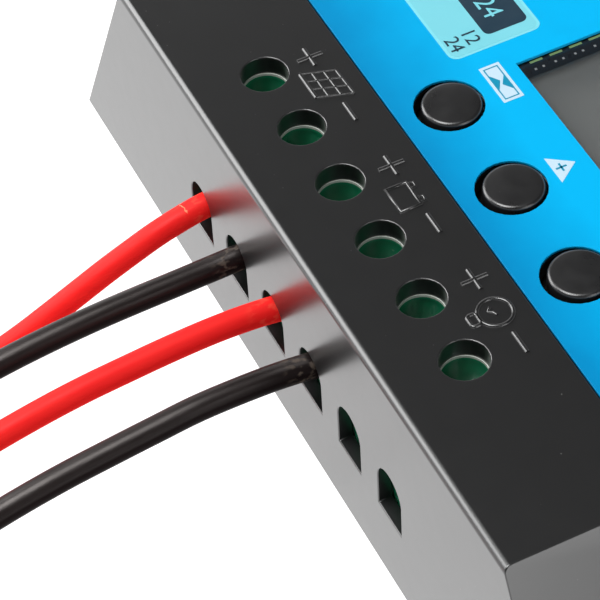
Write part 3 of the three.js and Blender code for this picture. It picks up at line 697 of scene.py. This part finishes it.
SLOT_LOOKS = {
    "case_black": moulded("case_black", (0.006, 0.006, 0.0063), 0.29, grain_depth=0.0001,
                          mottle=0.05, dust=0.3, specular=1.0, polish=0.35, gloss_share=0.02),
    "button_black": moulded("button_black", (0.009, 0.009, 0.0095), 0.3, grain=0.2,
                            grain_depth=0.002, dust=0.25, specular=0.9),
    "label_blue": label_blue(),
    "window_clear": clear_window(),
    "panel_grey": panel_grey(),
    "plastic_white": moulded("plastic_white", (0.75, 0.75, 0.72), 0.5),
    "block_green": moulded("block_green", (0.01, 0.22, 0.10), 0.25, mottle=0.15),
    "board_green": board_green(),
    "steel": metal("steel", (0.56, 0.57, 0.58), 0.3, (1, 1, 0.2)),
    "tinned": metal("tinned", (0.62, 0.6, 0.55), 0.35, (0.2, 1, 1)),
    "aluminium": metal("aluminium", (0.5, 0.51, 0.53), 0.4, (1, 1, 0.1)),
    "copper": metal("copper", (0.70, 0.28, 0.13), 0.3, (1, 0.15, 1), grain=0.12),
    "chip_black": moulded("chip_black", (0.012, 0.012, 0.013), 0.6, grain=0.08, grain_depth=0.008),
    "can_blue": moulded("can_blue", (0.014, 0.03, 0.15), 0.3),
    "sleeve_red": sleeve("sleeve_red", color=(0.80, 0.010, 0.012), light=(0.88, 0.022, 0.018),
                         scuff=(0.95, 0.30, 0.16), scuff_amount=0.1, roughness=0.5, specular=0.17),
    "sleeve_black": sleeve("sleeve_black", color=(0.006, 0.004, 0.004), light=(0.011, 0.007, 0.007),
                           scuff=(0.09, 0.07, 0.055), scuff_amount=0.7, roughness=0.36, specular=0.5),
}
PRINT_LOOKS = {
    "print_white": moulded("print_white", (0.45, 0.60, 0.70), 0.35, mottle=0.03),
    "print_pale": moulded("print_pale", (0.16, 0.52, 0.60), 0.35, mottle=0.04),
    "print_edge": moulded("print_edge", (0.18, 0.58, 0.66), 0.35, mottle=0.03),
    "print_dark": moulded("print_dark", (0.01, 0.03, 0.05), 0.35, mottle=0.05),
    "print_teal": moulded("print_teal", (0.0, 0.22, 0.36), 0.35, mottle=0.05),
}
GOLD = metal("gold_contact", (0.75, 0.5, 0.16), 0.25)
# The pale lip on the well rims is a painted highlight.
RIM_PAINTED_HIGHLIGHT = moulded("rim_painted_highlight", (0.62, 0.66, 0.60), 0.3)
# The contact pads, dots and ledge glow faintly: painted light, since they lie in shade.
PAD_GREEN_PAINTED_GLOW = painted_glow(moulded("pad_green_painted_glow", (0.60, 0.80, 0.40), 0.4), (0.55, 0.9, 0.4), 0.32)
DOT_WHITE_PAINTED_GLOW = painted_glow(moulded("dot_white_painted_glow", (0.75, 0.75, 0.72), 0.4), (0.8, 0.85, 0.9), 0.32)
LEDGE_BLUE_PAINTED_GLOW = painted_glow(moulded("ledge_blue_painted_glow", (0.06, 0.065, 0.08), 0.3), (0.5, 0.6, 0.75), 0.03)


# ---------------------------------------------------------------- carried-over CAD nodes

# How wide the rounding of each node's edges is, in millimetres.
EDGE_WIDTHS = {
    "front_housing": 0.16, "face_label": 0.07, "back_plate": 0.06, "power_board": 0.1,
    "display_board": 0.1, "display_panel": 0.08, "display_window": 0.1, "heat_sink": 0.15,
    "controller_chip": 0.1,
}
EDGE_WIDTH_OF_THE_REST = 0.12
WELD_DISTANCE = 0.002
FLAT_ANGLE = math.radians(0.5)
SHARP_ANGLE = math.radians(32)
LARGE_FACE_WEIGHT = 80
# Flat faces full of holes lose the holes when they are merged, so these keep their small faces.
PLATES_WITH_HOLES = ("back_plate", "power_board")


def soften(node, width):
    """Rounds the sharp edges of a CAD node and smooths its round faces, without touching its mesh."""
    piece = frame["nodes"][node]
    mesh = piece.data
    if "custom_normal" in mesh.attributes:
        mesh.attributes.remove(mesh.attributes["custom_normal"])
    mesh.polygons.foreach_set("use_smooth", [True] * len(mesh.polygons))
    weld = piece.modifiers.new("weld", "WELD")
    weld.merge_threshold = WELD_DISTANCE * MM
    if node not in PLATES_WITH_HOLES:
        flat = piece.modifiers.new("merge_flat_faces", "DECIMATE")
        flat.decimate_type = "DISSOLVE"
        flat.angle_limit = FLAT_ANGLE
    edges = piece.modifiers.new("round_edges", "BEVEL")
    edges.width = width * MM
    edges.segments = 2
    edges.limit_method = "ANGLE"
    edges.angle_limit = SHARP_ANGLE
    edges.use_clamp_overlap = False
    normals = piece.modifiers.new("even_normals", "WEIGHTED_NORMAL")
    normals.keep_sharp = False
    normals.weight = LARGE_FACE_WEIGHT


def paint(piece, *looks):
    """Gives a piece its materials. Its faces keep the material numbers that they have."""
    numbers = [face.material_index for face in piece.data.polygons]
    piece.data.materials.clear()
    for look in looks:
        piece.data.materials.append(look)
    if len(looks) > 1:
        piece.data.polygons.foreach_set("material_index", numbers)


for subpart in frame["record"]["subparts"]:
    node, slot = subpart["node"], subpart["material_slot"]
    if node.startswith("lead_"):
        continue
    soften(node, EDGE_WIDTHS.get(node, EDGE_WIDTH_OF_THE_REST))
    paint(frame["nodes"][node], SLOT_LOOKS[slot])

for number in range(1, WIRED_POLES + 1):
    paint(bpy.data.objects[f"lead_sleeve_{number}"], SLOT_LOOKS[lead_slot(number)])
    for end in ("free", "clamped"):
        paint(bpy.data.objects[f"copper_{end}_end_{number}"], SLOT_LOOKS["copper"])


# ---------------------------------------------------------------- outlines

# Outlines on the face are in millimetres from the first pole and the front wall. A rectangle is
# given by its left, right, near and far side.

def circle(x, y, radius, sides=28, start=0.0, turn=360.0):
    """Points around a circle, or along an arc of it that starts at an angle and turns on by another."""
    steps = range(sides if turn >= 360 else sides + 1)
    return [(x + radius * math.cos(math.radians(start + turn * step / sides)),
             y + radius * math.sin(math.radians(start + turn * step / sides))) for step in steps]


def rectangle(x0, x1, y0, y1):
    """The four corners of a rectangle."""
    return [(x0, y0), (x1, y0), (x1, y1), (x0, y1)]


def rounded(x0, x1, y0, y1, radius):
    """The outline of a rectangle with rounded corners."""
    outline = []
    for x, y, start in ((x1 - radius, y1 - radius, 0), (x0 + radius, y1 - radius, 90),
                        (x0 + radius, y0 + radius, 180), (x1 - radius, y0 + radius, 270)):
        outline += circle(x, y, radius, 6, start, 90)
    return outline


def border(x0, x1, y0, y1, width):
    """Four strips along the inside of a rectangle."""
    inner_low, inner_high = y0 + width, y1 - width
    return [rectangle(x0, x1, y0, inner_low), rectangle(x0, x1, inner_high, y1),
            rectangle(x0, x0 + width, inner_low, inner_high),
            rectangle(x1 - width, x1, inner_low, inner_high)]


# ---------------------------------------------------------------- raised signs on the case

SIGN_RADIUS = 0.29
SIGN_SINK = 0.05
BOLD_STROKE = 1.0
MEDIUM_STROKE = 0.9
THIN_STROKE = 0.7
PLUS_SIGNS = ((0.05, 16.0), (20.49, 16.37), (40.35, 16.45))
MINUS_SIGNS = ((10.47, 16.15), (30.75, 16.49), (50.71, 16.53))
SIGN_REACH = 1.6
PANEL_CORNERS = ((2.19, 13.71), (6.57, 13.73), (8.06, 17.92), (3.58, 17.75))
PANEL_CELLS = 3
BATTERY_TOP = 16.6
BATTERY_CASE = (23.67, 27.5, 14.03, BATTERY_TOP)
BATTERY_POSTS = (24.4, 26.8)
POST_HALF_WIDTH = 0.4
POST_TOP = BATTERY_TOP + 0.75
BULB_GLASS = (45.65, 16.2, 2.0)
BULB_FOOT = (44.75, 46.45, 13.05, 14.2, 0.4)
BULB_FILAMENT = ((44.75, 16.0), (45.25, 15.5), (45.55, 16.0), (46.05, 16.2))


def panel_lines():
    """The lines of a leaning grid between the four corners of the panel sign."""
    near_left, near_right, far_right, far_left = PANEL_CORNERS

    def between(a, b, share):
        return a[0] + (b[0] - a[0]) * share, a[1] + (b[1] - a[1]) * share

    lines = []
    for cell in range(PANEL_CELLS + 1):
        share = cell / PANEL_CELLS
        lines.append([between(near_left, near_right, share), between(far_left, far_right, share)])
        lines.append([between(near_left, far_left, share), between(near_right, far_right, share)])
    return lines


def battery_posts():
    """The two posts on top of the battery sign."""
    posts = []
    for x in BATTERY_POSTS:
        left, right = x - POST_HALF_WIDTH, x + POST_HALF_WIDTH
        posts.append([(left, BATTERY_TOP), (left, POST_TOP), (right, POST_TOP), (right, BATTERY_TOP)])
    return posts


def sign_strokes():
    """The outlines of all signs, in groups of (outlines, whether they are closed, weight)."""
    bold = [[(x - SIGN_REACH, y), (x + SIGN_REACH, y)] for x, y in PLUS_SIGNS + MINUS_SIGNS]
    bold += [[(x, y - SIGN_REACH), (x, y + SIGN_REACH)] for x, y in PLUS_SIGNS]
    bold.append(PANEL_CORNERS[:2])
    thin = [*panel_lines(), *battery_posts(), BULB_FILAMENT]
    closed = [rectangle(*BATTERY_CASE), circle(*BULB_GLASS), rounded(*BULB_FOOT)]
    return (bold, False, BOLD_STROKE), (thin, False, THIN_STROKE), (closed, True, MEDIUM_STROKE)


def raised_signs():
    """Plus and minus signs, a solar panel, a battery and a bulb, as thin ridges on the case's top."""
    data = bpy.data.curves.new("case_signs", "CURVE")
    data.dimensions = "3D"
    data.bevel_depth = SIGN_RADIUS * MM
    data.bevel_resolution = 3
    data.use_fill_caps = True
    for outlines, is_closed, weight in sign_strokes():
        for outline in outlines:
            spline = data.splines.new("POLY")
            spline.points.add(len(outline) - 1)
            spline.use_cyclic_u = is_closed
            for point, (x, y) in zip(spline.points, outline):
                point.co = (*on_face(x, y, -SIGN_SINK), 1)
                point.radius = weight
    signs = bpy.data.objects.new("case_signs", data)
    bpy.context.scene.collection.objects.link(signs)
    data.materials.append(SLOT_LOOKS["case_black"])
    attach(signs, "case")


raised_signs()


# ---------------------------------------------------------------- rims of the screw wells

RIM_OUTER = 2.82
RIM_INNER = 2.72
RIM_FOOT = -0.35
RIM_MIDDLE = 0.1
RIM_LIP = 0.45


def well_rims():
    """The collar around each screw well, green below, with a painted highlight in pale along its upper
    lip.
    """
    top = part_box("terminal_block_1")[1].z
    shape = Shape()
    for x in POLE_X:
        # The upper band takes the painted highlight.
        for low, high, look in ((RIM_FOOT, RIM_MIDDLE, 0), (RIM_MIDDLE, RIM_LIP, 1)):
            outline = [(RIM_OUTER, low), (RIM_OUTER, high), (RIM_INNER, high), (RIM_INNER, low)]
            loop = [(radius * MM, top + rise * MM) for radius, rise in outline]
            shape.add(*ring_form(loop, (x, SCREW_Y)), look)
    rims = shape.piece("screw_well_rims")
    paint(rims, SLOT_LOOKS["block_green"], RIM_PAINTED_HIGHLIGHT)
    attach(rims, "case")


well_rims()


# ---------------------------------------------------------------- print on the label

PRINT_FOOT = -0.05
# How far each kind of print stands above the label, in millimetres.
BLOCK_EDGE_RISE = 0.015
PRINT_RISE = 0.02
BLOCK_RISE = 0.03
LINE_RISE = 0.035
SQUARE_RISE = 0.045
SOCKET_FIGURE_RISE = 0.03
FIGURE_RISE = 0.05
TOP_FIGURE_RISE = 0.06
FIGURE_THICKNESS = 0.01

BLOCK = (-17.0, 9.0, 30.3, 42.5)
BLOCK_CORNER = 1.2
BLOCK_EDGE = 0.35
BLOCK_INNER_CORNER = 0.9
SQUARE = (-6.0, 7.06, 35.84, 41.6)
SQUARE_CORNER = 0.8
TIMER_SIGN = (11.65, 18.0, 32.35, 35.0)
TIMER_FRAME = (12.05, 17.6, 32.72, 34.63)
TIMER_LINE = 0.16
TIMER_GLASS = (
    [(13.3, 32.88), (15.9, 32.88), (14.5, 33.7)],
    [(13.9, 34.47), (15.2, 33.65), (16.4, 34.47)],
)
UP_SIGN = [(28.0, 32.0), (32.3, 32.0), (30.15, 34.9)]
DOWN_SIGN = [(43.05, 34.9), (45.2, 32.0), (47.35, 34.9)]
PLUS_AND_MINUS = (
    (29.5, 30.8, 32.95, 33.2),
    (30.02, 30.28, 32.4, 33.75),
    (44.55, 45.85, 33.75, 34.0),
)


def printed(name, outlines, look, rise=PRINT_RISE):
    """Thin printed areas on the label."""
    shape = Shape()
    for outline in outlines:
        count = len(outline)
        low = [on_face(x, y, PRINT_FOOT) for x, y in outline]
        high = [on_face(x, y, rise) for x, y in outline]
        faces = [list(range(count - 1, -1, -1)), list(range(count, 2 * count))]
        shape.add(low + high, faces + band(0, count, count))
    piece = shape.piece(name)
    paint(piece, PRINT_LOOKS[look])
    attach(piece, "case")


def digits(name, text, x, y, size, look, rise=FIGURE_RISE, align="RIGHT"):
    """Printed figures, with their baseline along +X."""
    data = bpy.data.curves.new(name, "FONT")
    data.body = text
    data.size = size * MM
    data.align_x = align
    data.extrude = FIGURE_THICKNESS * MM
    piece = bpy.data.objects.new(name, data)
    piece.location = on_face(x, y, rise)
    bpy.context.scene.collection.objects.link(piece)
    data.materials.append(PRINT_LOOKS[look])
    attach(piece, "case")


def print_block():
    """The pale block with its plain voltage figures."""
    x0, x1, y0, y1 = BLOCK
    inner = (x0 + BLOCK_EDGE, x1 - BLOCK_EDGE, y0 + BLOCK_EDGE, y1 - BLOCK_EDGE)
    printed("print_block_edge", [rounded(*BLOCK, BLOCK_CORNER)], "print_edge", BLOCK_EDGE_RISE)
    printed("print_block", [rounded(*inner, BLOCK_INNER_CORNER)], "print_pale", BLOCK_RISE)
    printed("print_block_square", [rounded(*SQUARE, SQUARE_CORNER)], "print_dark", SQUARE_RISE)
    digits("print_block_figures_1", "12", 7.6, 33.3, 2.6, "print_dark")
    digits("print_block_figures_2", "24", 7.9, 31.0, 2.6, "print_dark")
    digits("print_square_figures", "12 24", 0.6, 37.2, 3.6, "print_pale", TOP_FIGURE_RISE, "CENTER")


def print_signs():
    """The signs beside the buttons, an hourglass, up and down, and the numbers of the sockets."""
    printed("print_load_sign", [rectangle(*TIMER_SIGN)], "print_white")
    timer_lines = [*border(*TIMER_FRAME, TIMER_LINE), *TIMER_GLASS]
    printed("print_load_sign_lines", timer_lines, "print_teal", LINE_RISE)
    printed("print_up_sign", [UP_SIGN], "print_white")
    printed("print_down_sign", [DOWN_SIGN], "print_white")
    strokes = [rectangle(*stroke) for stroke in PLUS_AND_MINUS]
    printed("print_sign_strokes", strokes, "print_teal", LINE_RISE)
    digits("print_socket_figures", "1    2", 60.3, 36.2, 2.4, "print_white",
           SOCKET_FIGURE_RISE, "CENTER")


print_block()
print_signs()


# ---------------------------------------------------------------- push buttons

CAP_RADIUS = 3.62
CAP_FILLET = 0.5
FILLET_STEPS = 6
STEM_RADIUS = 1.7
FLANGE_RADIUS = 4.6
FLANGE_THICKNESS = 1.0
FLANGE_DEPTH = 3.0  # from the case's top down to the flange
SPLIT_ANGLE = math.radians(50)
# The domed top, as shares of the cap's radius with their depths below the very top.
DOME = ((0.6, 0.018), (0.3, 0.004), (0.0, 0.0))
DOME_FALL = 0.05


def cap_outline(foot, top):
    """The outline of a cap with its stem and flange, as (radius, height) pairs in metres."""
    flange_top = CASE_HIGH.z - FLANGE_DEPTH * MM
    flange_foot = flange_top - FLANGE_THICKNESS * MM
    outline = [(0, foot), (STEM_RADIUS * MM, foot), (STEM_RADIUS * MM, flange_foot),
               (FLANGE_RADIUS * MM, flange_foot), (FLANGE_RADIUS * MM, flange_top),
               (CAP_RADIUS * MM, flange_top)]
    for step in range(FILLET_STEPS + 1):
        angle = math.radians(90 * step / FILLET_STEPS)
        outline.append(((CAP_RADIUS - CAP_FILLET + CAP_FILLET * math.cos(angle)) * MM,
                        top + (CAP_FILLET * math.sin(angle) - CAP_FILLET - DOME_FALL) * MM))
    outline += [(CAP_RADIUS * share * MM, top - depth * MM) for share, depth in DOME]
    return outline


def button(number):
    """A satin cap with a slightly domed top and a rounded edge, on its flange and stem."""
    node = f"button_cap_{number}"
    low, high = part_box(node)
    shape = Shape()
    shape.add(*turned_form(cap_outline(low.z, high.z), middle(node)))
    cap = shape.piece(f"button_{number}", smooth=True)
    edges = cap.modifiers.new("hold_edges", "EDGE_SPLIT")
    edges.split_angle = SPLIT_ANGLE
    paint(cap, SLOT_LOOKS["button_black"])
    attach(cap, f"{node}_body")
    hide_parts(node)


for number in range(1, BUTTONS + 1):
    button(number)


# ---------------------------------------------------------------- display

LEDGE_DEPTH = 1.2
LEDGE_WIDTH = 3.3
LEDGE_GAP = 0.05
LEDGE_RISE = 0.02
PAD_X = -18.05
PAD_PITCH = 2.69
PAD_HALF_LENGTH = 0.845
PAD_HALF_WIDTH = 0.16
PAD_RISE = 0.05
FIRST_PAD = 5.04
DOT_OFFSET = 1.1  # from the middle of the pads to the near side of the dots
DOT_WIDTH = 0.3
DOT_LENGTH = 0.28
DOT_SHIFTS = (-0.71, 0.35)  # from the middle of a pad to the middles of its dots


def display_details():
    """The dark ledge beside the glass, with a row of contact pads and two dots by each pad."""
    low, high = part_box("display_panel")
    ledge_top = high.z - LEDGE_DEPTH * MM
    pads, dots, ledge = Shape(), Shape(), Shape()

    def flat_box(shape, x0, x1, y0, y1, rise):
        shape.add(*box_form((x0, y0, ledge_top - LEDGE_RISE * MM), (x1, y1, ledge_top + rise * MM)))

    gap = LEDGE_GAP * MM
    flat_box(ledge, low.x + gap, low.x + LEDGE_WIDTH * MM, low.y + gap, high.y - gap, LEDGE_RISE)
    start = low.y + FIRST_PAD * MM
    pad_x = PAD_X * MM
    dot_x = pad_x + DOT_OFFSET * MM
    count = int((high.y - start) / (PAD_PITCH * MM))
    for index in range(count):
        y = start + (PAD_HALF_LENGTH + index * PAD_PITCH) * MM
        flat_box(pads, pad_x - PAD_HALF_WIDTH * MM, pad_x + PAD_HALF_WIDTH * MM,
                 y - PAD_HALF_LENGTH * MM, y + PAD_HALF_LENGTH * MM, PAD_RISE)
        for shift in DOT_SHIFTS:
            near = y + (shift - DOT_LENGTH / 2) * MM
            flat_box(dots, dot_x, dot_x + DOT_WIDTH * MM, near, near + DOT_LENGTH * MM, PAD_RISE)
    # These looks glow faintly, a painted light.
    for shape, name, look in ((ledge, "display_ledge", LEDGE_BLUE_PAINTED_GLOW), (pads, "display_pads", PAD_GREEN_PAINTED_GLOW),
                              (dots, "display_dots", DOT_WHITE_PAINTED_GLOW)):
        piece = shape.piece(name)
        paint(piece, look)
        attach(piece, "case")


display_details()


# ---------------------------------------------------------------- charging sockets

# The gaps lie between the tongue and the shell around it, and between a contact and the tongue's ends.
TONGUE_HALF_WIDTH = 5.62
TONGUE_THICKNESS = 1.84
TONGUE_BACK_GAP = 1.28
TONGUE_TOP_GAP = 0.98
TONGUE_FOOT_GAP = 1.0
CONTACT_SHIFTS = (-3.5, -1.0, 1.0, 3.5)
CONTACT_HALF_WIDTH = 0.5
CONTACT_PROUD = 0.08
CONTACT_SUNK = 0.02
CONTACT_FOOT_GAP = 1.0
CONTACT_TOP_GAP = 0.5
SOCKET_EDGE = 0.04


def socket_details(number):
    """The white tongue in a charging socket, with its four gold contacts."""
    node = f"usb_socket_{number}"
    low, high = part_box(node)
    x = middle(node).x
    back = high.y - TONGUE_BACK_GAP * MM
    front = back - TONGUE_THICKNESS * MM
    top = high.z - TONGUE_TOP_GAP * MM
    foot = low.z + TONGUE_FOOT_GAP * MM
    half = TONGUE_HALF_WIDTH * MM
    tongue, contacts = Shape(), Shape()
    tongue.add(*box_form((x - half, front, foot), (x + half, back, top)))
    contact_y = front - CONTACT_PROUD * MM, front + CONTACT_SUNK * MM
    contact_z = foot + CONTACT_FOOT_GAP * MM, top - CONTACT_TOP_GAP * MM
    for shift in CONTACT_SHIFTS:
        contact_x = x + (shift - CONTACT_HALF_WIDTH) * MM, x + (shift + CONTACT_HALF_WIDTH) * MM
        contacts.add(*box_form(*zip(contact_x, contact_y, contact_z)))
    white = SLOT_LOOKS["plastic_white"]
    for shape, name, look, slot in ((tongue, "socket_tongue", white, "plastic_white"),
                                    (contacts, "socket_contacts", GOLD, "tinned")):
        piece = shape.piece(f"{name}_{number}")
        edges = piece.modifiers.new("round_edges", "BEVEL")
        edges.width = SOCKET_EDGE * MM
        edges.segments = 2
        paint(piece, look)
        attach(piece, "case")


for number in range(1, SOCKETS + 1):
    socket_details(number)
